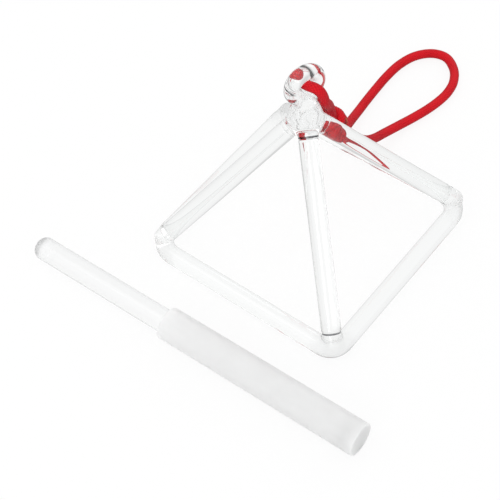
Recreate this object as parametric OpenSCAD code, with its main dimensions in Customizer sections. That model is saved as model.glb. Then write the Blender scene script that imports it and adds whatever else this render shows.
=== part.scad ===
// Singing pyramid: a square frame of fused glass rod with a hanging ring,
// a red cord loop on the ring, and a mallet with a soft sleeve lying in front.
// Millimetres, +Z up. The origin is on the table under the apex.

/* [Glass frame] */
// Outside width of the square base
base_w = 101.6; // [85:0.2:160]
// Diameter of the glass rod that the frame is made of
frame_d = 8; // [6:0.5:9]
// Radius of the front right and back left base corners, to the middle of the rod
bend_r = 6; // [5:0.5:12]
// Radius of the front left and back right base corners, to the middle of the rod
wide_bend_r = 10; // [5:0.5:12]
// Height above the table of the point where the axes of the legs meet
apex_h = 73; // [60:0.5:110]
// Straight melted glass at each end of a corner, past the leg's foot
corner_weld = 1; // [0.5:0.5:4]
// Melted glass at the foot of each leg, measured from the corner point
foot_weld = 8.6; // [8:0.2:14]
// Melted glass at the top of each leg, measured from the apex point
top_weld = 10; // [9:0.5:16]

/* [Apex and hanging ring] */
// Diameter of the fused knuckle where the legs meet
hub_d = 13; // [11:0.5:18]
// Diameter of the neck that carries the ring
neck_d = 9; // [6:0.5:10]
// Height of the ring's seat above the apex point
seat_rise = 8; // [4:0.5:12]
// Diameter of the glass rod that the ring is bent from
ring_rod_d = 6.2; // [5:0.2:8]
// Width of the hole through the ring
ring_hole = 5.6; // [4.6:0.2:12]
// Depth of the flat where the ring is fused to its seat
ring_flat = 1; // [0.4:0.1:2]
// Turn of the ring's hole away from the line of the front rod, in degrees
ring_turn = -18.5; // [-45:0.5:45]

/* [Cord] */
// Diameter of the cord
cord_d = 4.2; // [3:0.2:4.4]
// Diameter of the knot
knot_d = 11; // [8:0.5:12]
// Length of the knot, across the cord
knot_len = 14; // [10:0.5:15]
// Rounding at the ends of the knot
knot_edge = 4; // [1:0.5:4]

/* [Mallet] */
// Diameter of the bare glass rod
rod_d = 10; // [8:0.5:12]
// Length of bare rod in front of the sleeve
rod_free = 70; // [40:1:120]
// Rounding of the polished tip
tip_r = 3.5; // [1:0.5:4]
// Outside diameter of the soft sleeve
sleeve_d = 14; // [13:0.5:20]
// Length of the sleeve
sleeve_len = 94; // [60:1:140]
// Thickness of the sleeve's closed end
sleeve_end = 4; // [2:0.5:8]
// Rounding of the sleeve's rims
sleeve_edge = 0.8; // [0.2:0.1:1.4]
// Step down of the rod where it enters the sleeve, all round
seat_step = 0.25; // [0.2:0.05:0.6]
// Clearance of the rod in the sleeve, all round
sleeve_fit = 0.05; // [0.01:0.01:0.1]
// Gap between the end of the rod and the bottom of the sleeve's bore
bore_gap = 0.2; // [0.1:0.1:1]
// Distance of the sleeve's mouth to the left of the apex
mallet_left = 15; // [0:1:40]
// Distance of the sleeve's mouth in front of the apex
mallet_front = 76; // [70:1:120]
// Turn of the mallet out of line with the base, in degrees
mallet_turn = 1.2; // [0:0.1:3]

/* [Hidden] */

$fn = 64;

// Colours
glass_colour = [0.93, 0.95, 0.96, 0.5];
cord_colour = [0.82, 0.1, 0.14];
sleeve_colour = [0.88, 0.89, 0.89];

// Frame: half the distance between the axes of opposite base rods, and the legs
frame_r = frame_d / 2;
base_half = (base_w - frame_d) / 2;
leg_run = base_half * sqrt(2);
leg_rise = apex_h - frame_r;
leg_len = norm([leg_run, leg_rise]);
leg_tilt = atan2(leg_run, leg_rise);
// The foot's round end lies straight above the middle of the corner bend
function foot_start(bend) = bend * (sqrt(2) - 1) / sin(leg_tilt);
// The straight base rods start past the bend and past the crotch under the leg
crotch_angle = acos(sin(leg_tilt) / sqrt(2));
function corner_run(bend) = max(bend, frame_r / tan(crotch_angle / 2)) + corner_weld;

// Ring: it stands upright on the neck
ring_mid_r = (ring_hole + ring_rod_d) / 2;
ring_out_r = ring_mid_r + ring_rod_d / 2;
seat_z = apex_h + seat_rise;
ring_z = seat_z - ring_flat + ring_out_r;

// Cord: the hanger goes up from the knot, through the ring and back to the knot
knot_at = [-0.2, 16, 55];
hanger_points = [
    [2.1, 14.9, 57], [3.2, 11.5, 67], [4.7, 8.6, 73], [6.1, 5.4, 77.6], [6.9, 3.2, 81.3],
    [6.9, 2.2, 84.8], [6.2, 1.4, 87.5], [4.6, 0.5, 89.2], [2.3, 0, 89.4], [0.1, 0.2, 89.1],
    [-1.9, 1.2, 88.7], [-3.6, 2.9, 87.6], [-4.3, 5, 85.2], [-3.9, 7.1, 82], [-3.1, 8.8, 78.6],
    [-2, 10.4, 75], [-1.4, 11.6, 71], [-1.4, 13.1, 66], [-2.5, 14.9, 57]
];
// The loop sags from the knot over the back rod, lies on the table and comes back
loop_points = [
    [-2.4, 18.7, 48.9], [-4.4, 24.4, 41.4], [-8.6, 32.6, 28.8], [-12.6, 42, 16.5], [-16.2, 49.8, 10.2],
    [-18.8, 57, 6.2], [-20.8, 65.4, 3.5], [-22.2, 74.5, 2.4], [-23, 83.6, 2.2], [-23.4, 92.6, 2.2],
    [-22.8, 102, 2.2], [-20, 110.6, 2.2], [-14.4, 116.6, 2.2], [-7.4, 118, 2.2], [-0.5, 113.6, 2.2],
    [3.7, 107, 2.2], [5.2, 100.2, 2.2], [5, 93.5, 2.2], [3.6, 86, 2.2], [1.4, 78, 2.4], [-1, 69.2, 3.3],
    [-2.4, 60.2, 5.7], [-2.3, 51.5, 10], [-1.6, 43.4, 16.7], [-0.2, 33.6, 28.8], [1.5, 24.9, 41.4],
    [2, 18.7, 48.9]
];
cord_sides = 8;
cord_steps = 2;

// Mallet: the rod steps down to its seat, so that the sleeve's mouth stops on a shoulder
seat_r = rod_d / 2 - seat_step;
sleeve_bore_r = seat_r + sleeve_fit;
bore_depth = sleeve_len - sleeve_end;
rod_seat = bore_depth - bore_gap;

// Space larger than the object, for cutting with half of it
far = 400;

// A solid turned about Z from the right half of a flat outline
module turned() {
    rotate_extrude()
        intersection() {
            union()
                children();
            translate([0, -far / 2])
                square(far);
        }
}

// A rod along Z with a half-round lower end, whose middle is at the origin
module round_ended_rod(diameter, length) {
    turned() {
        intersection() {
            circle(d = diameter);
            translate([0, -diameter / 2])
                square(diameter / 2);
        }
        square([diameter / 2, length]);
    }
}

// A bar along Z with rounded rims
module rounded_bar(radius, length, edge) {
    turned() {
        square([radius - edge, length]);
        translate([0, edge])
            square([radius, length - 2 * edge]);
        for (end = [edge, length - edge])
            translate([radius - edge, end])
                circle(r = edge);
    }
}

// Puts its children on a leg, with Z from the corner point up to the apex
module on_leg(turn) {
    rotate([0, 0, 45 + turn])
        translate([leg_run, 0, frame_r])
            rotate([0, -leg_tilt, 0])
                children();
}

// A straight rod between two corners; left and right are as seen from outside the base
module base_rod(turn, left_bend, right_bend) {
    left_end = base_half - corner_run(left_bend);
    right_end = base_half - corner_run(right_bend);
    color(glass_colour)
        rotate([0, 0, turn])
            translate([-left_end, -base_half, frame_r])
                rotate([0, 90, 0])
                    cylinder(d = frame_d, h = left_end + right_end);
}

module corner(turn, bend) {
    straight = corner_run(bend) - bend;
    foot = foot_start(bend);
    color(glass_colour) {
        rotate([0, 0, turn])
            translate([base_half - bend, base_half - bend, frame_r]) {
                rotate_extrude(angle = 90)
                    translate([bend, 0])
                        circle(d = frame_d);
                translate([bend, 0, 0])
                    rotate([90, 0, 0])
                        cylinder(d = frame_d, h = straight);
                translate([0, bend, 0])
                    rotate([0, -90, 0])
                        cylinder(d = frame_d, h = straight);
            }
        on_leg(turn)
            translate([0, 0, foot])
                round_ended_rod(frame_d, foot_weld - foot);
    }
}

module leg(turn) {
    color(glass_colour)
        on_leg(turn)
            translate([0, 0, foot_weld])
                cylinder(d = frame_d, h = leg_len - foot_weld - top_weld);
}

module apex_hub() {
    color(glass_colour)
        difference() {
            union() {
                translate([0, 0, apex_h])
                    sphere(d = hub_d);
                translate([0, 0, apex_h])
                    cylinder(d = neck_d, h = seat_rise);
                for (turn = [0:90:270])
                    on_leg(turn)
                        translate([0, 0, leg_len - top_weld])
                            cylinder(d = frame_d, h = top_weld);
            }
            translate([-far / 2, -far / 2, seat_z])
                cube(far);
        }
}

module hanging_ring() {
    color(glass_colour)
        difference() {
            translate([0, 0, ring_z])
                rotate([0, 90, ring_turn])
                    rotate_extrude()
                        translate([ring_mid_r, 0])
                            circle(d = ring_rod_d);
            translate([-far / 2, -far / 2, seat_z - far])
                cube(far);
        }
}

// A smooth curve through the points of a cord's route
function unit(v) = v / norm(v);
function curve_at(p, i, t) =
    let (
        a = p[max(i - 1, 0)],
        b = p[i],
        c = p[i + 1],
        d = p[min(i + 2, len(p) - 1)]
    )
    (2 * b + (c - a) * t + (2 * a - 5 * b + 4 * c - d) * t ^ 2 + (3 * b - a - 3 * c + d) * t ^ 3) / 2;
function curve(p) = [
    for (i = [0 : len(p) - 2], s = [0 : cord_steps - 1]) curve_at(p, i, s / cord_steps),
    p[len(p) - 1]
];
function heading(line, i) = unit(line[min(i + 1, len(line) - 1)] - line[max(i - 1, 0)]);

// A cord as one closed tube: upright is a direction that the route never takes
module cord_tube(points, upright) {
    line = curve(points);
    last = len(line) - 1;
    skin = [
        for (i = [0 : last])
            let (
                along = heading(line, i),
                side = unit(cross(along, upright)),
                over = cross(side, along)
            )
            for (k = [0 : cord_sides - 1])
                let (a = (k + 0.5) * 360 / cord_sides)
                line[i] + cord_d / 2 * (cos(a) * side + sin(a) * over)
    ];
    walls = [
        for (i = [0 : last - 1], k = [0 : cord_sides - 1])
            let (
                a = i * cord_sides + k,
                b = i * cord_sides + (k + 1) % cord_sides
            )
            each [[a, b, a + cord_sides], [b, b + cord_sides, a + cord_sides]]
    ];
    first_cap = [for (k = [1 : cord_sides - 2]) [0, k + 1, k]];
    top = last * cord_sides;
    last_cap = [for (k = [1 : cord_sides - 2]) [top, top + k, top + k + 1]];
    polyhedron(skin, concat(walls, first_cap, last_cap), convexity = 10);
}

module cord_hanger() {
    color(cord_colour)
        cord_tube(hanger_points, [0, 1, 0]);
}

module cord_knot() {
    color(cord_colour)
        translate(knot_at - [knot_len / 2, 0, 0])
            rotate([0, 90, 0])
                rounded_bar(knot_d / 2, knot_len, knot_edge);
}

module cord_loop() {
    color(cord_colour)
        cord_tube(loop_points, [0, 0, 1]);
}

// Puts its children on the mallet, with Z along it from the sleeve's mouth to its closed end
module on_mallet() {
    translate([-mallet_left, -mallet_front, sleeve_d / 2])
        rotate([0, 0, mallet_turn])
            rotate([0, 90, 0])
                children();
}

module mallet_rod() {
    color(glass_colour)
        on_mallet()
            turned() {
                translate([0, -rod_free]) {
                    square([rod_d / 2 - tip_r, rod_free]);
                    translate([0, tip_r])
                        square([rod_d / 2, rod_free - tip_r]);
                    translate([rod_d / 2 - tip_r, tip_r])
                        circle(r = tip_r);
                }
                square([seat_r, rod_seat]);
            }
}

module mallet_sleeve() {
    color(sleeve_colour)
        on_mallet()
            difference() {
                rounded_bar(sleeve_d / 2, sleeve_len, sleeve_edge);
                translate([0, 0, -1])
                    cylinder(r = sleeve_bore_r, h = bore_depth + 1);
            }
}

base_rod(0, wide_bend_r, bend_r);  // base_rod_front
base_rod(90, bend_r, wide_bend_r);  // base_rod_right
base_rod(180, wide_bend_r, bend_r);  // base_rod_back
base_rod(270, bend_r, wide_bend_r);  // base_rod_left
corner(0, wide_bend_r);  // corner_back_right
corner(90, bend_r);  // corner_back_left
corner(180, wide_bend_r);  // corner_front_left
corner(270, bend_r);  // corner_front_right
leg(0);  // leg_back_right
leg(90);  // leg_back_left
leg(180);  // leg_front_left
leg(270);  // leg_front_right
apex_hub();
hanging_ring();
cord_hanger();
cord_knot();
cord_loop();
mallet_rod();
mallet_sleeve();
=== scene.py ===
# Singing pyramid: fused glass rod, a red cord loop on its ring, and a mallet in a soft sleeve.
import math
import bmesh
import bpy
import numpy as np
from mathutils import Matrix, Vector


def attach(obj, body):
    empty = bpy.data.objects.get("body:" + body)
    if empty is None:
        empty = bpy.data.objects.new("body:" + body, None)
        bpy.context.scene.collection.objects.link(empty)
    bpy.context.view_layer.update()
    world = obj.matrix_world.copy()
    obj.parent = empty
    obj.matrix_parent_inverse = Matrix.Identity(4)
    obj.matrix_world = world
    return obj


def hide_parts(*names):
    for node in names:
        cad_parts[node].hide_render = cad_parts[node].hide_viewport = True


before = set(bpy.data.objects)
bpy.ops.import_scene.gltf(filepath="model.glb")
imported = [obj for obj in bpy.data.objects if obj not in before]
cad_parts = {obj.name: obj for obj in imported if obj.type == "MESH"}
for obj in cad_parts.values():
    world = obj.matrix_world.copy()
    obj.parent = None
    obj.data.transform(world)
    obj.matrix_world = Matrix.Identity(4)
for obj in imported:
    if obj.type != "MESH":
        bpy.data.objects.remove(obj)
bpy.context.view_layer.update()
mm = 0.001
scene = bpy.context.scene
scene.view_settings.view_transform = "Standard"
bounces = 40  # light turns many times inside thick glass
scene.cycles.max_bounces = scene.cycles.glossy_bounces = scene.cycles.transmission_bounces = bounces
print("frame loaded:", len(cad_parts), "nodes")

# camera: the photograph's own viewing angle
shot = {
    "azimuth": 42.134, "elevation": 52.695, "roll": 5.246,  # degrees
    "target": (-12.0, -25.74, 4.0), "distance": 575.95,  # mm
    "lens": 98.37, "sensor": 36.0,
}


def makeCamera(s):
    az, el, roll = (math.radians(s[k]) for k in ("azimuth", "elevation", "roll"))
    right = Vector((math.cos(az), math.sin(az), 0))
    back = Vector((math.sin(az) * math.cos(el), -math.cos(az) * math.cos(el), math.sin(el)))
    up = back.cross(right)
    across = math.cos(roll) * right - math.sin(roll) * up
    upright = math.sin(roll) * right + math.cos(roll) * up
    data = bpy.data.cameras.new("photoCamera")
    data.lens, data.sensor_width = s["lens"], s["sensor"]
    cam = bpy.data.objects.new("photoCamera", data)
    scene.collection.objects.link(cam)
    place = Matrix((across, upright, back)).transposed().to_4x4()
    place.translation = mm * (Vector(s["target"]) + s["distance"] * back)
    cam.matrix_world = place
    scene.camera = cam


makeCamera(shot)
print("camera placed")


# small helpers for node trees
def link(tree, a, b):
    tree.links.new(a, b)


def feed(tree, socket, value):  # a link from another socket, or a fixed value
    if isinstance(value, bpy.types.NodeSocket):
        link(tree, value, socket)
    else:
        socket.default_value = value


def addNode(tree, kind, settings=None, **sockets):
    node = tree.nodes.new(kind)
    for key, value in (settings or {}).items():
        setattr(node, key, value)
    for key, value in sockets.items():
        feed(tree, node.inputs[key], value)
    return node


def calc(tree, op, *values):
    node = addNode(tree, "ShaderNodeMath", {"operation": op})
    for socket, value in zip(node.inputs, values):
        feed(tree, socket, value)
    return node.outputs[0]


def vectorCalc(tree, op, *vectors, **sockets):
    node = addNode(tree, "ShaderNodeVectorMath", {"operation": op}, **sockets)
    for socket, vector in zip(node.inputs, vectors):
        feed(tree, socket, vector)
    return node.outputs["Value" if op in ("DOT_PRODUCT", "LENGTH") else "Vector"]


def startTree(name, inputs):
    tree = bpy.data.node_groups.new(name, "GeometryNodeTree")
    tree.interface.new_socket("Geometry", in_out="INPUT", socket_type="NodeSocketGeometry")
    for label, kind in inputs:
        tree.interface.new_socket(label, in_out="INPUT", socket_type=kind)
    tree.interface.new_socket("Geometry", in_out="OUTPUT", socket_type="NodeSocketGeometry")
    return tree, tree.nodes.new("NodeGroupInput"), tree.nodes.new("NodeGroupOutput")


def sweep(tree, path, profile):
    return addNode(tree, "GeometryNodeCurveToMesh", Curve=path,
                   **{"Profile Curve": profile, "Fill Caps": True}).outputs["Mesh"]


def endTree(tree, geometry, start, end):
    real = addNode(tree, "GeometryNodeRealizeInstances", Geometry=geometry)
    dressed = addNode(tree, "GeometryNodeSetMaterial", Geometry=real.outputs["Geometry"],
                      Material=start.outputs["Material"])
    link(tree, dressed.outputs["Geometry"], end.inputs["Geometry"])
    return tree


def runTree(name, points, closed, tree, values):
    mesh = bpy.data.meshes.new(name + "Path")
    n = len(points)
    edges = [(i, i + 1) for i in range(n - 1)] + ([(n - 1, 0)] if closed else [])
    mesh.from_pydata([tuple(p) for p in points], edges, [])
    helper = bpy.data.objects.new(name + "Path", mesh)
    scene.collection.objects.link(helper)
    modifier = helper.modifiers.new("nodes", "NODES")
    modifier.node_group = tree
    ids = {s.name: s.identifier for s in tree.interface.items_tree if s.in_out == "INPUT"}
    for label, value in values.items():
        modifier[ids[label]] = value
    bpy.context.view_layer.update()
    graph = bpy.context.evaluated_depsgraph_get()
    made = bpy.data.meshes.new_from_object(helper.evaluated_get(graph))
    made.name = name
    helper.modifiers.clear()
    bpy.data.objects.remove(helper)
    piece = bpy.data.objects.new(name, made)
    scene.collection.objects.link(piece)
    return piece


# small helpers for meshes
def rodAxes(way):
    way = np.array(way, float) / np.linalg.norm(way)
    side = np.cross([0, 0, 1.0], way)
    side = side / np.linalg.norm(side)
    return way, side, np.cross(way, side)


def lathe(profile, sides, origin, way):
    profile = np.array(profile, float)
    way, side, over = rodAxes(way)
    angle = np.arange(sides) * 2 * math.pi / sides
    spokes = np.cos(angle)[:, None] * side + np.sin(angle)[:, None] * over
    points, rows, faces = [], [], []
    for radius, along in profile:
        middle = np.array(origin) + along * way
        if radius < 1e-9:
            rows.append([len(points)] * sides)
            points.append(middle)
        else:
            rows.append(list(range(len(points), len(points) + sides)))
            points.extend(middle + radius * spokes)
    for lower, upper in zip(rows[:-1], rows[1:]):
        for k in range(sides):
            j = (k + 1) % sides
            ring = [lower[k], lower[j], upper[j], upper[k]]
            face = [v for n, v in enumerate(ring) if v not in ring[:n]]
            faces.append(face)
    return np.array(points), faces


def meshFrom(name, points, faces, material):
    mesh = bpy.data.meshes.new(name)
    mesh.from_pydata([tuple(p) for p in points * mm], [], faces)
    mesh.materials.append(material)
    mesh.polygons.foreach_set("use_smooth", [True] * len(mesh.polygons))
    mesh.update()
    piece = bpy.data.objects.new(name, mesh)
    scene.collection.objects.link(piece)
    return piece


# cord: satin braid, 4.2 mm, tied into a loop through the ring
cordSpec = {
    "diameter": 4.2, "sides": 40, "spacing": 0.28,  # mm
    "strands": 10, "pitch": 1.1, "depth": 0.13,
    "crown": 0.6, "dip": 0.45, "level": 0.8,  # how round a strand is, how far its ends dip, its mean height
    # painted shade: the braid's crevices are coloured darker (creaseShade) than the strands' tops (light)
    "light": (0.74, 0.012, 0.020), "creaseShade": (0.26, 0.003, 0.008), "stops": (0.25, 0.85),
    "grain": 2600.0, "grainShare": 0.5, "creaseShadeShare": 0.75, "bump": 0.35, "bumpDepth": 0.00005,
    "roughness": (0.4, 0.65), "shine": 0.08, "sheen": 0.02, "sheenTint": (1.0, 0.45, 0.45),
    # painted shade: the colour turns dark red (edge) towards the cord's silhouette edges
    "edge": (0.30, 0.010, 0.018), "edgeShadeShare": 0.8, "edgeShadePower": 1.4,
}
hangerRoute = [  # from the knot up, through the ring and back, in mm as in the CAD source
    (2.1, 14.9, 57), (3.2, 11.5, 67), (4.7, 8.6, 73), (6.1, 5.4, 77.6), (6.9, 3.2, 81.3), (6.9, 2.2, 84.8),
    (6.2, 1.4, 87.5), (4.6, 0.5, 89.2), (2.3, 0, 89.4), (0.1, 0.2, 89.1), (-1.9, 1.2, 88.7),
    (-3.6, 2.9, 87.6), (-4.3, 5, 85.2), (-3.9, 7.1, 82), (-3.1, 8.8, 78.6), (-2, 10.4, 75),
    (-1.4, 11.6, 71), (-1.4, 13.1, 66), (-2.5, 14.9, 57),
]
loopRoute = [  # from the knot over the back rod, round on the table and back
    (-2.4, 18.7, 48.9), (-4.4, 24.4, 41.4), (-8.6, 32.6, 28.8), (-12.6, 42, 16.5), (-16.2, 49.8, 10.2),
    (-18.8, 57, 6.2), (-20.8, 65.4, 3.5), (-22.2, 74.5, 2.4), (-23, 83.6, 2.2), (-23.4, 92.6, 2.2),
    (-22.8, 102, 2.2), (-20, 110.6, 2.2), (-14.4, 116.6, 2.2), (-7.4, 118, 2.2), (-0.5, 113.6, 2.2),
    (3.7, 107, 2.2), (5.2, 100.2, 2.2), (5, 93.5, 2.2), (3.6, 86, 2.2), (1.4, 78, 2.4), (-1, 69.2, 3.3),
    (-2.4, 60.2, 5.7), (-2.3, 51.5, 10), (-1.6, 43.4, 16.7), (-0.2, 33.6, 28.8), (1.5, 24.9, 41.4),
    (2, 18.7, 48.9),
]
knotSpec = {
    "middle": (-0.2, 16.0, 55.0), "down": (0.0, 0.42, -0.907),  # where it sits and how the strands run
    "turns": 3, "half": 1.9, "reach": 3.45, "step": 3.55, "runStep": 0.2,  # the wraps
    "leads": [(-1.8, 17.6, 51.8), (1.4, 17.6, 51.8)],  # the loop's two ends run on into the knot
    "tail": [(1.6, 16.2, 55.7), (4.2, 16.4, 56.3), (6.3, 16.5, 56.9)],  # the cord's end, sealed with a flame
    "rim": [(0, -0.5), (1.9, -0.45), (2.15, -0.1), (2.1, 0.25), (1.8, 0.4), (0, 0.3)],
    "core": [(0, -0.3), (1.6, -0.2), (1.55, 0.42), (1.2, 0.55), (0, 0.6)],
    "singed": (0.62, 0.16, 0.02), "charred": (0.25, 0.03, 0.01), "stops": (0.35, 0.6),
    "grain": 2200.0, "roughness": (0.3, 0.5), "bump": 0.3, "bumpDepth": 0.0001,
}


def smoothRoute(points, spacing, steps=40):
    p = np.array(points, float)
    ends = np.vstack([p[:1], p, p[-1:]])
    t = np.linspace(0, 1, steps, endpoint=False)[:, None]
    line = []
    for a, b, c, d in zip(ends[:-3], ends[1:-2], ends[2:-1], ends[3:]):
        line.append((2 * b + (c - a) * t + (2 * a - 5 * b + 4 * c - d) * t**2
                     + (3 * b - a - 3 * c + d) * t**3) / 2)
    return evenSteps(np.vstack(line + [p[-1:]]), spacing)


def evenSteps(line, spacing):
    run = np.concatenate([[0], np.cumsum(np.linalg.norm(np.diff(line, axis=0), axis=1))])
    at = np.linspace(0, run[-1], int(round(run[-1] / spacing)) + 1)
    return np.stack([np.interp(at, run, line[:, i]) for i in range(3)], axis=1)


def routeLength(line):
    return float(np.linalg.norm(np.diff(line, axis=0), axis=1).sum())


def braidTree(s):
    tree, start, end = startTree("braidedCord", [
        ("Radius", "NodeSocketFloat"), ("Sides", "NodeSocketInt"), ("Strands", "NodeSocketFloat"),
        ("Pitch", "NodeSocketFloat"), ("Depth", "NodeSocketFloat"), ("Material", "NodeSocketMaterial")])

    def keep(geometry, name, value):
        return addNode(tree, "GeometryNodeStoreNamedAttribute", {"data_type": "FLOAT", "domain": "POINT"},
                       Geometry=geometry, Name=name, Value=value).outputs["Geometry"]

    def readBack(name):
        return addNode(tree, "GeometryNodeInputNamedAttribute", {"data_type": "FLOAT"}, Name=name).outputs[0]

    curve = addNode(tree, "GeometryNodeMeshToCurve", Mesh=start.outputs["Geometry"])
    ring = addNode(tree, "GeometryNodeCurvePrimitiveCircle",
                   Resolution=start.outputs["Sides"], Radius=start.outputs["Radius"])
    runAlong = addNode(tree, "GeometryNodeSplineParameter").outputs["Length"]
    runAround = addNode(tree, "GeometryNodeSplineParameter").outputs["Factor"]
    tube = sweep(tree, keep(curve.outputs["Curve"], "along", runAlong),
                 keep(ring.outputs["Curve"], "around", runAround))
    turn = calc(tree, "MULTIPLY", readBack("around"), start.outputs["Strands"])
    climb = calc(tree, "DIVIDE", readBack("along"), start.outputs["Pitch"])
    left, right = calc(tree, "ADD", turn, climb), calc(tree, "SUBTRACT", turn, climb)
    crossings = calc(tree, "ADD", calc(tree, "FLOOR", left), calc(tree, "FLOOR", right))
    over = calc(tree, "FLOORED_MODULO", crossings, 2.0)  # 0 or 1: which strand lies on top

    def ridge(run):
        return calc(tree, "SINE", calc(tree, "MULTIPLY", calc(tree, "FRACT", run), math.pi))

    def pillow(across, lengthwise):
        crown = calc(tree, "POWER", across, s["crown"])
        return calc(tree, "MULTIPLY", crown, calc(tree, "MULTIPLY_ADD", lengthwise, s["dip"], 1 - s["dip"]))

    ridgeL, ridgeR = ridge(left), ridge(right)
    highL, highR = pillow(ridgeL, ridgeR), pillow(ridgeR, ridgeL)
    height = calc(tree, "MULTIPLY_ADD", calc(tree, "SUBTRACT", highR, highL), over, highL)
    lift = calc(tree, "MULTIPLY", calc(tree, "SUBTRACT", height, s["level"]), start.outputs["Depth"])
    normal = tree.nodes.new("GeometryNodeInputNormal").outputs["Normal"]
    shift = addNode(tree, "GeometryNodeSetPosition", Geometry=keep(tube, "braid", height),
                    Offset=vectorCalc(tree, "SCALE", normal, Scale=lift))
    smooth = addNode(tree, "GeometryNodeSetShadeSmooth", Geometry=shift.outputs["Geometry"])
    return endTree(tree, smooth.outputs[0], start, end)


# materials
def newMaterial(name):
    mat = bpy.data.materials.new(name)
    mat.use_nodes = True
    tree = mat.node_tree
    return mat, tree, tree.nodes["Principled BSDF"], tree.nodes["Material Output"]


speckleSpec = {"fine": 3.0, "broad": 2.0, "wider": 0.1}  # detail of each, and the broad one's scale


def speckleGroup(s):
    group = bpy.data.node_groups.new("fineSpeckle", "ShaderNodeTree")
    group.interface.new_socket("Scale", in_out="INPUT", socket_type="NodeSocketFloat")
    for label in ("Fine", "Broad"):
        group.interface.new_socket(label, in_out="OUTPUT", socket_type="NodeSocketFloat")
    start, end = group.nodes.new("NodeGroupInput"), group.nodes.new("NodeGroupOutput")
    place = group.nodes.new("ShaderNodeTexCoord").outputs["Object"]
    scale = start.outputs["Scale"]
    fine = addNode(group, "ShaderNodeTexNoise", Vector=place, Scale=scale, Detail=s["fine"])
    broad = addNode(group, "ShaderNodeTexNoise", Vector=place, Detail=s["broad"],
                    Scale=calc(group, "MULTIPLY", scale, s["wider"]))
    link(group, fine.outputs["Fac"], end.inputs["Fine"])
    link(group, broad.outputs["Fac"], end.inputs["Broad"])
    return group


speckle = speckleGroup(speckleSpec)


def addSpeckle(tree, scale):
    node = addNode(tree, "ShaderNodeGroup", {"node_tree": speckle}, Scale=scale)
    return node.outputs["Fine"], node.outputs["Broad"]


def rangeOf(tree, value, low, high):
    node = addNode(tree, "ShaderNodeMapRange", Value=value, **{"To Min": low, "To Max": high})
    return node.outputs["Result"]


def smoothRange(tree, value, span, low, high):
    ends = {"From Min": span[0], "From Max": span[1], "To Min": low, "To Max": high}
    node = addNode(tree, "ShaderNodeMapRange", {"interpolation_type": "SMOOTHSTEP"}, Value=value, **ends)
    return node.outputs["Result"]


# painted shade: how far a point is towards the silhouette edge, used to darken colour there
def shadeTowardsEdge(tree, power):
    facing = addNode(tree, "ShaderNodeLayerWeight", Blend=0.5).outputs["Facing"]
    return calc(tree, "POWER", facing, power)


def placeOn(tree):  # X, Y and Z on the piece, in metres
    place = tree.nodes.new("ShaderNodeTexCoord").outputs["Object"]
    return addNode(tree, "ShaderNodeSeparateXYZ", Vector=place).outputs


def twoTones(tree, value, stops, low, high):
    ramp = addNode(tree, "ShaderNodeValToRGB", Fac=value)
    for element, stop, colour in zip(ramp.color_ramp.elements, stops, (low, high)):
        element.position, element.color = stop, (*colour, 1)
    return ramp.outputs["Color"]


def mixColours(tree, share, a, b):
    mix = addNode(tree, "ShaderNodeMix", {"data_type": "RGBA"}, Factor=share)
    feed(tree, mix.inputs[6], a)
    feed(tree, mix.inputs[7], b)
    return mix.outputs[2]


def addBump(tree, bsdf, height, s):
    bump = addNode(tree, "ShaderNodeBump", Strength=s["bump"], Distance=s["bumpDepth"], Height=height)
    link(tree, bump.outputs["Normal"], bsdf.inputs["Normal"])


def redCordMaterial(s):
    mat, tree, bsdf, _ = newMaterial("redSatinCord")
    height = addNode(tree, "ShaderNodeAttribute", {"attribute_name": "braid"}).outputs["Fac"]
    fine, _ = addSpeckle(tree, s["grain"])
    # painted shade: darker colour in the braid's crevices, plus the fibre's own fine speckle
    shade = calc(tree, "MULTIPLY_ADD", fine, s["grainShare"], calc(tree, "MULTIPLY", height, s["creaseShadeShare"]))
    red = twoTones(tree, shade, s["stops"], s["creaseShade"], s["light"])
    # painted shade: darker towards the silhouette edges
    rim = calc(tree, "MULTIPLY", shadeTowardsEdge(tree, s["edgeShadePower"]), s["edgeShadeShare"])
    link(tree, mixColours(tree, rim, red, (*s["edge"], 1)), bsdf.inputs["Base Color"])
    link(tree, rangeOf(tree, fine, *s["roughness"]), bsdf.inputs["Roughness"])
    bsdf.inputs["Specular IOR Level"].default_value = s["shine"]
    bsdf.inputs["Sheen Weight"].default_value = s["sheen"]
    bsdf.inputs["Sheen Tint"].default_value = (*s["sheenTint"], 1)
    addBump(tree, bsdf, fine, s)
    return mat


def sealedEndMaterial(s):
    mat, tree, bsdf, _ = newMaterial("sealedCordEnd")
    fine, broad = addSpeckle(tree, s["grain"])
    link(tree, twoTones(tree, fine, s["stops"], s["charred"], s["singed"]), bsdf.inputs["Base Color"])
    link(tree, rangeOf(tree, broad, *s["roughness"]), bsdf.inputs["Roughness"])
    addBump(tree, bsdf, fine, s)
    return mat


cordMat = redCordMaterial(cordSpec)
braid = braidTree(cordSpec)


def makeCord(name, line):
    s = cordSpec
    return runTree(name, line * mm, False, braid, {
        "Radius": s["diameter"] / 2 * mm, "Sides": s["sides"], "Strands": float(s["strands"]),
        "Pitch": s["pitch"] * mm, "Depth": s["depth"] * mm, "Material": cordMat})


def knotRoute(s):
    down = np.array(s["down"]) / np.linalg.norm(s["down"])
    side = np.array([1.0, 0, 0])
    front = np.cross(down, side)
    half, reach = s["half"], s["reach"]
    around = 2 * math.pi * reach + 4 * half
    total = s["turns"] * around
    line = []
    for run in np.arange(0, total + s["runStep"] / 20, s["runStep"]):
        u = run % around  # a long hole shape: two straights and two half rounds
        if u < 2 * half:
            a, b = -half + u, reach
        elif u < 2 * half + math.pi * reach:
            w = (u - 2 * half) / reach
            a, b = half + reach * math.sin(w), reach * math.cos(w)
        elif u < 4 * half + math.pi * reach:
            a, b = half - (u - 2 * half - math.pi * reach), -reach
        else:
            w = (u - 4 * half - math.pi * reach) / reach
            a, b = -half - reach * math.sin(w), -reach * math.cos(w)
        lower = s["step"] * (s["turns"] - 1) * (run / total - 0.5)
        line.append(np.array(s["middle"]) + a * side + b * front + lower * down)
    return evenSteps(np.array(line), cordSpec["spacing"])


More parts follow.
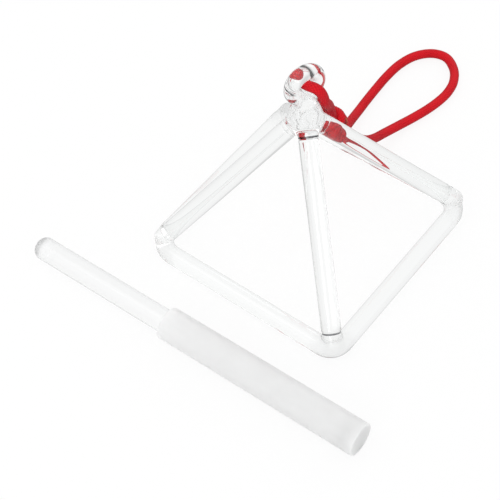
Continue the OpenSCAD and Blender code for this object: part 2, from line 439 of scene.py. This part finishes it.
hangerLine = smoothRoute(hangerRoute, cordSpec["spacing"])
loopLine = smoothRoute([knotSpec["leads"][0]] + loopRoute + [knotSpec["leads"][1]], cordSpec["spacing"])
knotLine = knotRoute(knotSpec)
hangerCord = makeCord("hangerCord", hangerLine)
loopCord = makeCord("loopCord", loopLine)
cordKnot = makeCord("cordKnot", knotLine)
tailLine = smoothRoute(knotSpec["tail"], cordSpec["spacing"])
cordTail = makeCord("cordTail", tailLine)


def makeTailCap(name, profile, material):
    way = tailLine[-1] - tailLine[-4]
    return meshFrom(name, *lathe(profile, cordSpec["sides"], tailLine[-1], way), material)


tailRim = makeTailCap("tailRim", knotSpec["rim"], sealedEndMaterial(knotSpec))
tailCore = makeTailCap("tailCore", knotSpec["core"], cordMat)
for piece, body, node in ((hangerCord, "hanger", "cord_hanger"), (cordKnot, "hanger", "cord_knot"),
                          (loopCord, "loop", "cord_loop")):
    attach(piece, body)
    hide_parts(node)
for piece in (cordTail, tailRim, tailCore):
    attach(piece, "hanger")
print("cords made:", [round(routeLength(x)) for x in (hangerLine, loopLine, knotLine)], "mm")

# glass frame: straight drawn rods between hand-melted joints, all one skin of solid glass
glassSpec = {
    "half": 46.8, "rod": 4.0, "apex": 73.0,  # mm, as in the CAD source
    "bends": (10.0, 6.0, 10.0, 6.0),  # of the corners, from the back right one on to the left
    "footWeld": 8.6, "topWeld": 10.0, "hub": 6.5, "neck": 4.5, "neckTop": 79.5,
    "ringMid": 5.9, "ringRod": 3.1, "ringUp": 89.0, "ringTurn": -18.5,
    "melt": 1.6, "hubMelt": 2.6, "groove": 0.30, "grooveWidth": 0.42,  # how soft the joints are
    "wobble": 0.04, "swayRate": 0.11, "swayTurn": 1.7,  # the legs are not quite straight
    "baseCut": 14.0, "footCut": 17.0, "topCut": 17.0, "spare": 4.0,  # how far each melted joint reaches
    "footDip": 5.0, "neckDip": 3.0, "stubSides": 32, "arcSteps": 13, "hoopStep": 7.5,  # its raw stubs
    "voxel": 0.36, "settle": 6, "ease": 0.5, "sides": 128, "ringStep": 3.0, "rimGap": 0.3,
    # painted shade: the glass colour turns grey (edge) towards its silhouette edges
    "clear": (0.985, 0.993, 0.990), "edge": (0.45, 0.455, 0.455), "edgeShadePower": 1.7,
    "edgeShadeShare": 0.35, "frontEdgeShadeShare": 0.7,  # painted shade: the front leg's edges are painted the darkest
    "front": {"spread": -2.0, "ahead": (0.004, 0.02), "height": (0.009, 0.013)},  # metres
    "corner": {"out": (0.034, 0.040), "height": (0.008, 0.013)},  # the melted corners are a little cloudy
    "cloud": 0.10, "haze": 0.22, "ior": 1.47, "shade": (0.93, 0.94, 0.94),
    "grain": 900.0, "roughness": (0.0, 0.01), "bump": 0.02, "bumpDepth": 0.0002,
}


def rodTree():
    tree, start, end = startTree("glassRod", [
        ("Radius", "NodeSocketFloat"), ("Sides", "NodeSocketInt"), ("Material", "NodeSocketMaterial")])
    curve = addNode(tree, "GeometryNodeMeshToCurve", Mesh=start.outputs["Geometry"])
    ring = addNode(tree, "GeometryNodeCurvePrimitiveCircle",
                   Resolution=start.outputs["Sides"], Radius=start.outputs["Radius"])
    return endTree(tree, sweep(tree, curve.outputs["Curve"], ring.outputs["Curve"]), start, end)


def legLine(g, i):  # foot, direction and length of leg i
    turn = math.radians(45 + 90 * i)
    run = g["half"] * math.sqrt(2)
    foot = np.array([run * math.cos(turn), run * math.sin(turn), g["rod"]])
    top = np.array([0, 0, g["apex"]])
    length = np.linalg.norm(top - foot)
    return foot, (top - foot) / length, length


def baseLine(g, i):  # corner i, the direction to corner i + 1 and the length between them
    here, there = legLine(g, i)[0], legLine(g, (i + 1) % 4)[0]
    return here, (there - here) / (2 * g["half"]), 2 * g["half"]


def softUnion(a, b, melt):
    h = np.clip(0.5 + 0.5 * (b - a) / melt, 0, 1)
    return b + (a - b) * h - melt * h * (1 - h)


def frameShape(p, g):  # how far each point is outside the glass, in mm
    x, y, z = p.T
    bend = np.where(y > 0, np.where(x > 0, *g["bends"][:2]), np.where(x < 0, *g["bends"][2:]))
    out = np.abs(p[:, :2]) - (g["half"] - bend)[:, None]
    flat = np.linalg.norm(np.maximum(out, 0), axis=1) + np.minimum(out.max(axis=1), 0) - bend
    base = np.hypot(flat, z - g["rod"]) - g["rod"]
    hub = np.linalg.norm(p - [0, 0, g["apex"]], axis=1) - g["hub"]
    for i in range(4):
        foot, way, length = legLine(g, i)
        rise = (p - foot) @ way
        start = g["bends"][i] * (math.sqrt(2) - 1) / math.hypot(way[0], way[1])
        onAxis = foot + np.clip(rise, start, length)[:, None] * way
        seams = (np.exp(-((rise - g["footWeld"]) / g["grooveWidth"])**2)
                 + np.exp(-((rise - length + g["topWeld"]) / g["grooveWidth"])**2))
        sway = g["wobble"] * np.sin(rise * g["swayRate"] + g["swayTurn"] * i)
        leg = np.linalg.norm(p - onAxis, axis=1) - g["rod"] - sway + g["groove"] * seams
        base = softUnion(base, leg, g["melt"])
        hub = softUnion(hub, leg, g["hubMelt"])
    neck = np.hypot(np.hypot(x, y), z - np.clip(z, g["apex"], g["neckTop"])) - g["neck"]
    turn = math.radians(g["ringTurn"])
    through, across = x * math.cos(turn) + y * math.sin(turn), y * math.cos(turn) - x * math.sin(turn)
    ring = np.hypot(np.hypot(across, z - g["ringUp"]) - g["ringMid"], through) - g["ringRod"]
    top = softUnion(neck, ring, g["hubMelt"])
    return softUnion(np.minimum(base, hub), top, g["hubMelt"])


def shapeSlope(p, g, step=0.01):
    slope = np.empty_like(p)
    for i in range(3):
        d = np.zeros(3)
        d[i] = step
        slope[:, i] = (frameShape(p + d, g) - frameShape(p - d, g)) / (2 * step)
    return slope


def ontoShape(p, g, rounds):
    for _ in range(rounds):
        slope = shapeSlope(p, g)
        p = p - (frameShape(p, g) / (slope**2).sum(1))[:, None] * slope
    return p


def unitSlope(p, g):
    slope = shapeSlope(p, g)
    return slope / np.linalg.norm(slope, axis=1)[:, None]


def settleOnShape(p, edges, g, rounds):
    count = np.zeros(len(p))
    np.add.at(count, edges.ravel(), 1)
    for _ in range(rounds):
        mean = np.zeros_like(p)
        np.add.at(mean, edges[:, 0], p[edges[:, 1]])
        np.add.at(mean, edges[:, 1], p[edges[:, 0]])
        normal = unitSlope(p, g)
        pull = mean / count[:, None] - p
        p = p + g["ease"] * (pull - (pull * normal).sum(1)[:, None] * normal)  # evens the faces out
        p = ontoShape(p, g, 2)
    return p


def cornerStubs(g, i):  # the bent base rod at corner i and the foot of its leg
    reach = g["baseCut"] + g["spare"]
    turn = math.radians(90 * i)
    spin = np.array([[math.cos(turn), -math.sin(turn), 0], [math.sin(turn), math.cos(turn), 0], [0, 0, 1]])
    bend, half, up = g["bends"][i], g["half"], g["rod"]
    inner = half - bend
    arc = [(inner + bend * math.cos(a), inner + bend * math.sin(a), up)
           for a in np.linspace(0, math.pi / 2, g["arcSteps"])]
    path = np.array([(half, half - reach, up)] + arc + [(half - reach, half, up)]) @ spin.T
    foot, way, _ = legLine(g, i)
    leg = foot + np.outer([g["footDip"], g["footCut"] + g["spare"]], way)
    return [(path, False, g["rod"]), (leg, False, g["rod"])]


def hubStubs(g):  # the tops of the legs, the neck and the ring
    stubs = []
    for i in range(4):
        foot, way, length = legLine(g, i)
        stubs.append((foot + np.outer([length - g["topCut"] - g["spare"], length], way), False, g["rod"]))
    turns, turn = np.radians(np.arange(0, 360, g["hoopStep"])), math.radians(g["ringTurn"])
    across = g["ringMid"] * np.cos(turns)
    hoop = np.stack([-across * math.sin(turn), across * math.cos(turn),
                     g["ringUp"] + g["ringMid"] * np.sin(turns)], axis=1)
    stubs.append((hoop, True, g["ringRod"]))
    neck = np.array([[0, 0, g["apex"] - g["neckDip"]], [0, 0, g["ringUp"] - g["ringMid"]]])
    stubs.append((neck, False, g["neck"]))
    return stubs


def meltedJoint(g, stubs, cuts, tree, material):  # the stubs melted together and cut square at each plane
    points, faces = [], []
    for line, closed, radius in stubs:
        tube = runTree("rawStub", line * mm, closed, tree,
                       {"Radius": radius * mm, "Sides": g["stubSides"], "Material": material})
        faces.extend([[len(points) + v for v in f.vertices] for f in tube.data.polygons])
        points.extend([tuple(v.co) for v in tube.data.vertices])
        bpy.data.objects.remove(tube)
    raw = meshFrom("rawJoint", np.array(points) / mm, faces, material)
    remesh = raw.modifiers.new("fuse", "REMESH")
    remesh.mode, remesh.voxel_size = "VOXEL", g["voxel"] * mm
    bpy.context.view_layer.update()
    fused = bpy.data.meshes.new_from_object(raw.evaluated_get(bpy.context.evaluated_depsgraph_get()))
    raw.modifiers.clear()
    bpy.data.objects.remove(raw)
    p = np.empty(len(fused.vertices) * 3)
    fused.vertices.foreach_get("co", p)
    edges = np.empty(len(fused.edges) * 2, np.int32)
    fused.edges.foreach_get("vertices", edges)
    p = settleOnShape(p.reshape(-1, 3) / mm, edges.reshape(-1, 2), g, g["settle"])
    fused.vertices.foreach_set("co", p.ravel())
    bm = bmesh.new()
    bm.from_mesh(fused)
    for place, outward in cuts:
        bmesh.ops.bisect_plane(bm, geom=bm.verts[:] + bm.edges[:] + bm.faces[:], dist=1e-5,
                               plane_co=Vector(place), plane_no=Vector(outward), clear_outer=True)
    bm.verts.index_update()
    rims = []
    for place, outward in cuts:
        rims.append(sorted({v.index for e in bm.edges if e.is_boundary for v in e.verts
                            if abs((v.co - Vector(place)).dot(Vector(outward))) < 1e-3}))
    points = np.array([v.co for v in bm.verts])
    faces = [[v.index for v in f.verts] for f in bm.faces]
    bm.free()
    return points, faces, rims


def zipRims(low, lowTurn, high, highTurn):  # a strip of triangles between two rims, by their angles
    low, lowTurn = low[np.argsort(lowTurn)], np.sort(lowTurn)
    high, highTurn = high[np.argsort(highTurn)], np.sort(highTurn)
    n, m, i, j = len(low), len(high), 0, 0
    faces = []
    while i < n or j < m:
        nextLow = lowTurn[(i + 1) % n] + 2 * math.pi * ((i + 1) // n)
        nextHigh = highTurn[(j + 1) % m] + 2 * math.pi * ((j + 1) // m)
        if j >= m or (i < n and nextLow < nextHigh):
            faces.append([low[i % n], low[(i + 1) % n], high[j % m]])
            i += 1
        else:
            faces.append([low[i % n], high[(j + 1) % m], high[j % m]])
            j += 1
    return faces


def frameSkin(g, material):
    tree = rodTree()
    points, faces, rims = np.empty((0, 3)), [], {}

    def take(morePoints, moreFaces):
        nonlocal points
        start = len(points)
        faces.extend([[start + v for v in f] for f in moreFaces])
        points = np.vstack([points, morePoints])
        return start

    for i in range(4):
        foot, way, _ = legLine(g, i)
        onward, back = baseLine(g, i)[1], -baseLine(g, (i - 1) % 4)[1]
        cuts = [(foot + g["footCut"] * way, way), (foot + g["baseCut"] * onward, onward),
                (foot + g["baseCut"] * back, back)]
        jointPoints, jointFaces, ends = meltedJoint(g, cornerStubs(g, i), cuts, tree, material)
        start = take(jointPoints, jointFaces)
        for name, rim in zip(("foot", "onward", "back"), ends):
            rims[name, i] = start + np.array(rim)
    legs = [legLine(g, i) for i in range(4)]
    cuts = [(foot + (length - g["topCut"]) * way, -way) for foot, way, length in legs]
    jointPoints, jointFaces, ends = meltedJoint(g, hubStubs(g), cuts, tree, material)
    start = take(jointPoints, jointFaces)
    for i, rim in enumerate(ends):
        rims["top", i] = start + np.array(rim)
    for i in range(4):
        foot, way, length = legs[i]
        corner, onward, side = baseLine(g, i)
        runs = [(foot, way, g["footCut"], length - g["topCut"], rims["foot", i], rims["top", i]),
                (corner, onward, g["baseCut"], side - g["baseCut"],
                 rims["onward", i], rims["back", (i + 1) % 4])]
        for origin, heading, low, high, lowRim, highRim in runs:
            steps = int((high - low) / g["ringStep"])
            profile = [(g["rod"], a) for a in np.linspace(low + g["rimGap"], high - g["rimGap"], steps)]
            rodPoints, rodFaces = lathe(profile, g["sides"], origin, heading)
            start = take(ontoShape(rodPoints, g, 2), rodFaces)
            axes = rodAxes(heading)

            def turnOf(rim):
                spoke = points[rim] - origin
                return np.arctan2(spoke @ axes[2], spoke @ axes[1]) % (2 * math.pi)

            firstRow = start + np.arange(g["sides"])
            lastRow = start + (steps - 1) * g["sides"] + np.arange(g["sides"])
            for rim, row in ((lowRim, firstRow), (highRim, lastRow)):
                faces.extend(zipRims(rim, turnOf(rim), row, turnOf(row)))
    points = ontoShape(points, g, 1)
    normals = unitSlope(points, g)
    return points, facingOut(points, faces, normals), normals


def facingOut(points, faces, normals):
    first = points[[f[0] for f in faces]]
    across = np.cross(points[[f[1] for f in faces]] - first, points[[f[2] for f in faces]] - first)
    outward = (across * normals[[f[0] for f in faces]]).sum(1) >= 0
    return [f if good else f[::-1] for f, good in zip(faces, outward)]


def makeGlassFrame(g, material):
    points, faces, normals = frameSkin(g, material)
    piece = meshFrom("glassFrame", points, faces, material)
    piece.data.normals_split_custom_set_from_vertices(normals)
    return piece


# painted shade: grey towards the silhouette edges, plus a flat grey cloud where one is given
def tintEdgeShadeAndCloud(tree, bsdf, s, strength, cloud):
    share = calc(tree, "MULTIPLY_ADD", shadeTowardsEdge(tree, s["edgeShadePower"]), strength, cloud)
    link(tree, mixColours(tree, share, (*s["clear"], 1), (*s["edge"], 1)), bsdf.inputs["Base Color"])


def makeClear(tree, bsdf, out, ior, shade):
    bsdf.inputs["IOR"].default_value = ior
    bsdf.inputs["Transmission Weight"].default_value = 1.0
    ray = tree.nodes.new("ShaderNodeLightPath")  # glass hardly shades the table
    through = addNode(tree, "ShaderNodeBsdfTransparent", Color=(*shade, 1))
    mix = addNode(tree, "ShaderNodeMixShader", Fac=ray.outputs["Is Shadow Ray"])
    link(tree, bsdf.outputs["BSDF"], mix.inputs[1])
    link(tree, through.outputs["BSDF"], mix.inputs[2])
    link(tree, mix.outputs["Shader"], out.inputs["Surface"])


def frontLegMask(tree, s):
    xyz = placeOn(tree)
    ahead = calc(tree, "SUBTRACT", xyz["X"], xyz["Y"])
    aside = calc(tree, "ABSOLUTE", calc(tree, "ADD", xyz["X"], xyz["Y"]))
    near = smoothRange(tree, calc(tree, "MULTIPLY_ADD", aside, s["spread"], ahead), s["ahead"], 0.0, 1.0)
    return calc(tree, "MULTIPLY", near, smoothRange(tree, xyz["Z"], s["height"], 0.0, 1.0))


def cornerMask(tree, s):
    xyz = placeOn(tree)
    nearer = calc(tree, "MINIMUM", calc(tree, "ABSOLUTE", xyz["X"]), calc(tree, "ABSOLUTE", xyz["Y"]))
    low = smoothRange(tree, xyz["Z"], s["height"], 1.0, 0.0)
    return calc(tree, "MULTIPLY", smoothRange(tree, nearer, s["out"], 0.0, 1.0), low)


def clearGlassMaterial(g):
    mat, tree, bsdf, out = newMaterial("clearGlass")
    # painted shade: edge darkening, strongest on the front leg
    strength = calc(tree, "MULTIPLY_ADD", frontLegMask(tree, g["front"]), g["frontEdgeShadeShare"], g["edgeShadeShare"])
    corner = cornerMask(tree, g["corner"])
    tintEdgeShadeAndCloud(tree, bsdf, g, strength, calc(tree, "MULTIPLY", corner, g["cloud"]))
    _, broad = addSpeckle(tree, g["grain"])
    rough = calc(tree, "MULTIPLY_ADD", corner, g["haze"], rangeOf(tree, broad, *g["roughness"]))
    link(tree, rough, bsdf.inputs["Roughness"])
    addBump(tree, bsdf, broad, g)
    makeClear(tree, bsdf, out, g["ior"], g["shade"])
    return mat


seamSpec = {  # painted shade: dark films standing in for the dark lines where the front leg was fused on, in mm
    "low": 7.8, "lowDish": [(0, -0.30), (2.2, -0.22), (3.2, 0.0), (3.72, 0.34),
                            (3.58, 0.46), (3.1, 0.2), (2.2, 0.02), (0, -0.05)],
    "high": 86.4, "highRim": [(3.3, -0.15), (3.6, -0.18), (3.8, 0), (3.6, 0.18), (3.3, 0.15), (3.3, -0.15)],
    "leg": 3, "sides": 48,  # the front leg, counted from the back right one on to the left
    # painted shade: the films' dark grey (filmShade) and lighter grey (haze)
    "filmShade": (0.16, 0.16, 0.17), "haze": (0.42, 0.42, 0.43), "stops": (0.3, 0.7),
    "grain": 1200.0, "roughness": (0.0, 0.05), "ior": 1.0, "shade": (0.9, 0.9, 0.9),
}


def seamShadeFilmMaterial(s):
    mat, tree, bsdf, out = newMaterial("seamShadeFilm")
    fine, broad = addSpeckle(tree, s["grain"])
    link(tree, twoTones(tree, broad, s["stops"], s["filmShade"], s["haze"]), bsdf.inputs["Base Color"])
    link(tree, rangeOf(tree, fine, *s["roughness"]), bsdf.inputs["Roughness"])
    makeClear(tree, bsdf, out, s["ior"], s["shade"])
    return mat


def makeSeam(name, s, g, along, profile, material):
    foot, way, _ = legLine(g, s["leg"])
    return meshFrom(name, *lathe(profile, s["sides"], foot + along * way, way), material)


glassMat = clearGlassMaterial(glassSpec)
seamMat = seamShadeFilmMaterial(seamSpec)
glassFrame = makeGlassFrame(glassSpec, glassMat)
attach(glassFrame, "pyramid")
# painted shade: dark films inside the front leg at its fused seams
for name, along, profile in (("lowSeamShade", "low", "lowDish"), ("highSeamShade", "high", "highRim")):
    seam = makeSeam(name, seamSpec, glassSpec, seamSpec[along], seamSpec[profile], seamMat)
    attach(seam, "pyramid")
glassNodes = ("base_", "corner_", "leg_", "apex_", "hanging_")
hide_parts(*[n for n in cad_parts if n.startswith(glassNodes)])
print("glass frame fused:", len(glassFrame.data.polygons), "faces")

# mallet: a glass rod pushed into a silicone sleeve, lying in front
malletSpec = {
    "mouth": (-15.0, -76.0, 7.0), "turn": 1.2, "sides": 96,  # mm, degrees
    "rod": 5.0, "free": 70.0, "tip": 3.5, "tipSteps": 12, "bareRows": (-60.0, -0.3, 20),
    "shoulder": [(4.98, -0.05), (4.8, 0), (4.75, 0.1)],  # where the sleeve stops
    "seat": 4.75, "seatEnd": 89.8, "seatRound": 0.5, "seatRows": (5.0, 89.2, 20),
    "sleeve": 7.0, "length": 94.0, "edge": 0.5, "skinRows": (1.5, 92.5, 40),
    "bore": 4.8, "boreEnd": 90.0, "boreRound": 0.4, "boreRows": (87.0, 0.5, 24), "lip": 0.3, "lipSteps": 5,
}
rodLook = {
    # painted shade: the rod's colour turns grey (edge) towards its silhouette edges
    "clear": (0.975, 0.98, 0.98), "edge": (0.45, 0.455, 0.455), "edgeShadePower": 1.7, "edgeShadeShare": 0.3,
    "ior": 1.46, "shade": (0.9, 0.905, 0.905), "tipFrost": 0.35,  # the tip's end is ground
    "grain": 700.0, "roughness": (0.08, 0.16), "bump": 0.05, "bumpDepth": 0.0002,
}
sleeveLook = {
    "low": (0.84, 0.845, 0.845), "high": (0.90, 0.905, 0.905), "stops": (0.0, 1.0),
    "endwardShade": (20.0, 94.0), "endwardShadeLevel": 0.95, "plug": (83.0, 92.0), "plugShadeLevel": 0.87,  # mm, painted shade: greyer towards the closed end, most over the solid plug
    "softRadius": (1, 1, 1), "softScale": 0.006, "ior": 1.41,
    "grain": 1500.0, "roughness": (0.34, 0.46), "bump": 0.12, "bumpDepth": 0.0001,
}


def arcPoints(middleR, middleA, radius, start, end, steps=7):
    return [(middleR + radius * math.cos(math.radians(t)), middleA + radius * math.sin(math.radians(t)))
            for t in np.linspace(start, end, steps)]


def onMallet(name, m, profile, material):
    turn = math.radians(m["turn"])
    points, faces = lathe(profile, m["sides"], m["mouth"], (math.cos(turn), math.sin(turn), 0))
    return meshFrom(name, points, faces, material)


def makeRod(m, material):
    soft = m["seatRound"]
    profile = [(0, -m["free"])]
    profile += arcPoints(m["rod"] - m["tip"], m["tip"] - m["free"], m["tip"], -90, 0, m["tipSteps"])
    profile += [(m["rod"], a) for a in np.linspace(*m["bareRows"])] + m["shoulder"]
    profile += [(m["seat"], a) for a in np.linspace(*m["seatRows"])]
    profile += arcPoints(m["seat"] - soft, m["seatEnd"] - soft, soft, 0, 90) + [(0, m["seatEnd"])]
    return onMallet("malletRod", m, profile, material)


def makeSleeve(m, material):
    edge, lip, soft = m["edge"], m["lip"], m["boreRound"]
    profile = [(0, m["boreEnd"]), (m["bore"] - soft, m["boreEnd"]), (m["bore"], m["boreEnd"] - soft)]
    profile += [(m["bore"], a) for a in np.linspace(*m["boreRows"])]
    profile += arcPoints(m["bore"] + lip, lip, lip, 180, 270, m["lipSteps"])
    profile += arcPoints(m["sleeve"] - edge, edge, edge, -90, 0)
    profile += [(m["sleeve"], a) for a in np.linspace(*m["skinRows"])]
    profile += arcPoints(m["sleeve"] - edge, m["length"] - edge, edge, 0, 90) + [(0, m["length"])]
    return onMallet("malletSleeve", m, profile, material)


def milkyRodMaterial(m, s):
    mat, tree, bsdf, out = newMaterial("milkyRodGlass")
    tintEdgeShadeAndCloud(tree, bsdf, s, s["edgeShadeShare"], 0.0)
    fine, broad = addSpeckle(tree, s["grain"])
    end = m["mouth"][0] - m["free"]
    ground = [(end + m["tip"]) * mm, (end + 2 * m["tip"]) * mm]
    frost = smoothRange(tree, placeOn(tree)["X"], ground, s["tipFrost"], 0.0)
    link(tree, calc(tree, "ADD", rangeOf(tree, fine, *s["roughness"]), frost), bsdf.inputs["Roughness"])
    addBump(tree, bsdf, broad, s)
    makeClear(tree, bsdf, out, s["ior"], s["shade"])
    return mat


def siliconeMaterial(m, s):
    mat, tree, bsdf, _ = newMaterial("frostedSilicone")
    fine, broad = addSpeckle(tree, s["grain"])
    pale = twoTones(tree, broad, s["stops"], s["low"], s["high"])
    along = placeOn(tree)["X"]
    endwardShade, plug = ([(m["mouth"][0] + a) * mm for a in s[k]] for k in ("endwardShade", "plug"))
    # painted shade: the colour darkens towards the closed end and most over the solid plug
    share = calc(tree, "MULTIPLY", smoothRange(tree, along, endwardShade, 1.0, s["endwardShadeLevel"]),
                 smoothRange(tree, along, plug, 1.0, s["plugShadeLevel"]))
    link(tree, vectorCalc(tree, "SCALE", pale, Scale=share), bsdf.inputs["Base Color"])
    link(tree, rangeOf(tree, fine, *s["roughness"]), bsdf.inputs["Roughness"])
    bsdf.inputs["Subsurface Weight"].default_value = 1.0
    bsdf.inputs["Subsurface Radius"].default_value = s["softRadius"]
    bsdf.inputs["Subsurface Scale"].default_value = s["softScale"]
    bsdf.inputs["IOR"].default_value = s["ior"]
    addBump(tree, bsdf, fine, s)
    return mat


malletRod = makeRod(malletSpec, milkyRodMaterial(malletSpec, rodLook))
malletSleeve = makeSleeve(malletSpec, siliconeMaterial(malletSpec, sleeveLook))
for piece, body, node, slot in ((malletRod, "mallet", "mallet_rod", "rod_glass"),
                                (malletSleeve, "sleeve", "mallet_sleeve", "sleeve")):
    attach(piece, body)
    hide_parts(node)
print("mallet made")

# stage: a white table that glows in a painted pool of light, a grey room with a dark card on either side, a
# pale ceiling
stageSpec = {
    "table": 0.90, "tableGlow": 0.88, "throughGlass": 0.96, "roughness": 0.9, "shine": 0.1, "reach": 4.0,
    "pool": (-0.012, -0.026, 0.0), "poolRim": (0.12, 0.26),  # metres
    "side": (0.726, 0.688, 0.0), "card": (0.90, 0.98), "cardTop": (0.0, 0.1), "dark": 0.1,
    "room": 0.70, "wall": (0.10, 0.40), "roof": (0.5, 0.85), "ceiling": 0.85,  # heights where it grows pale
    "reflected": 0.72,  # the table's painted glow as seen in reflections
    "lamps": [  # place, size, watts
        ((-0.35, -0.25, 0.95), 0.7, 1.1), ((0.25, -0.85, 0.50), 0.5, 1.4), ((-0.15, 0.85, 0.55), 0.7, 1.5)],
}


def roomGroup(s):
    group = bpy.data.node_groups.new("roomShade", "ShaderNodeTree")
    group.interface.new_socket("Way", in_out="INPUT", socket_type="NodeSocketVector")
    group.interface.new_socket("Level", in_out="OUTPUT", socket_type="NodeSocketFloat")
    start, end = group.nodes.new("NodeGroupInput"), group.nodes.new("NodeGroupOutput")
    flat = vectorCalc(group, "MULTIPLY", start.outputs["Way"], (1, 1, 0))
    sideways = vectorCalc(group, "DOT_PRODUCT", vectorCalc(group, "NORMALIZE", flat), s["side"])
    height = addNode(group, "ShaderNodeSeparateXYZ", Vector=start.outputs["Way"]).outputs["Z"]
    card = smoothRange(group, calc(group, "ABSOLUTE", sideways), s["card"], 0.0, 1.0)
    card = calc(group, "MULTIPLY", card, smoothRange(group, height, s["cardTop"], 1.0, 0.0))
    wall = smoothRange(group, height, s["wall"], s["room"], 1.0)
    link(group, smoothRange(group, card, (0, 1), wall, s["dark"]), end.inputs["Level"])
    return group


def addRoom(tree, group, way):
    return addNode(tree, "ShaderNodeGroup", {"node_tree": group}, Way=way).outputs["Level"]


def tableMaterial(s, room):
    mat, tree, bsdf, out = newMaterial("whiteTable")
    place = tree.nodes.new("ShaderNodeTexCoord").outputs["Object"]
    offset = vectorCalc(tree, "SUBTRACT", place, s["pool"])
    reach = vectorCalc(tree, "LENGTH", offset)
    # painted light: seen through glass the table glows in a pool round the object, taking the room's grey and
    # dark cards beyond it
    pool = smoothRange(tree, reach, s["poolRim"], s["throughGlass"], addRoom(tree, room, offset))
    near = smoothRange(tree, reach, s["poolRim"], 1.0, 0.0)
    bsdf.inputs["Base Color"].default_value = (s["table"],) * 3 + (1,)
    bsdf.inputs["Roughness"].default_value = s["roughness"]
    bsdf.inputs["Specular IOR Level"].default_value = s["shine"]
    ray = tree.nodes.new("ShaderNodeLightPath").outputs
    camera, glossy, through = (ray[k] for k in ("Is Camera Ray", "Is Glossy Ray", "Is Transmission Ray"))
    reflection = calc(tree, "MULTIPLY", glossy, calc(tree, "SUBTRACT", 1.0, through))
    mirrored = calc(tree, "MULTIPLY_ADD", reflection, s["reflected"] - 1, 1.0)
    glow = calc(tree, "MAXIMUM", camera, calc(tree, "MULTIPLY", pool, mirrored))
    white = addNode(tree, "ShaderNodeEmission", Color=(1, 1, 1, 1), Strength=glow)
    plain = calc(tree, "MULTIPLY_ADD", near, s["tableGlow"] - 1, 1.0)  # the shadows stay near the object
    seen = calc(tree, "MULTIPLY_ADD", camera, plain, calc(tree, "MAXIMUM", glossy, through))
    mix = addNode(tree, "ShaderNodeMixShader", Fac=seen)
    link(tree, bsdf.outputs["BSDF"], mix.inputs[1])
    link(tree, white.outputs["Emission"], mix.inputs[2])
    link(tree, mix.outputs["Shader"], out.inputs["Surface"])
    return mat


def makeRoom(s, room):
    world = bpy.data.worlds.new("studioRoom")
    world.use_nodes = True
    tree = world.node_tree
    coord = tree.nodes.new("ShaderNodeTexCoord")
    height = addNode(tree, "ShaderNodeSeparateXYZ", Vector=coord.outputs["Generated"]).outputs["Z"]
    roof = smoothRange(tree, height, s["roof"], 1.0, s["ceiling"])
    level = calc(tree, "MULTIPLY", addRoom(tree, room, coord.outputs["Generated"]), roof)
    ray = tree.nodes.new("ShaderNodeLightPath")
    shown = calc(tree, "MAXIMUM", ray.outputs["Is Camera Ray"], level)
    link(tree, shown, tree.nodes["Background"].inputs["Color"])
    scene.world = world


def makeLamp(index, place, size, watts):
    data = bpy.data.lights.new("softLamp%d" % index, "AREA")
    data.shape, data.size, data.energy = "DISK", size, watts
    lamp = bpy.data.objects.new("softLamp%d" % index, data)
    scene.collection.objects.link(lamp)
    lamp.location = place
    lamp.rotation_mode = "QUATERNION"
    lamp.rotation_quaternion = Vector(place).to_track_quat("Z", "Y")


room = roomGroup(stageSpec)
reach = stageSpec["reach"]
floorMesh = bpy.data.meshes.new("tableTop")
floorMesh.from_pydata([(-reach, -reach, 0), (reach, -reach, 0), (reach, reach, 0), (-reach, reach, 0)],
                      [], [(0, 1, 2, 3)])
floorMesh.materials.append(tableMaterial(stageSpec, room))
floor = bpy.data.objects.new("tableTop", floorMesh)
scene.collection.objects.link(floor)
makeRoom(stageSpec, room)
for index, (place, size, watts) in enumerate(stageSpec["lamps"]):
    makeLamp(index, place, size, watts)
print("stage set")
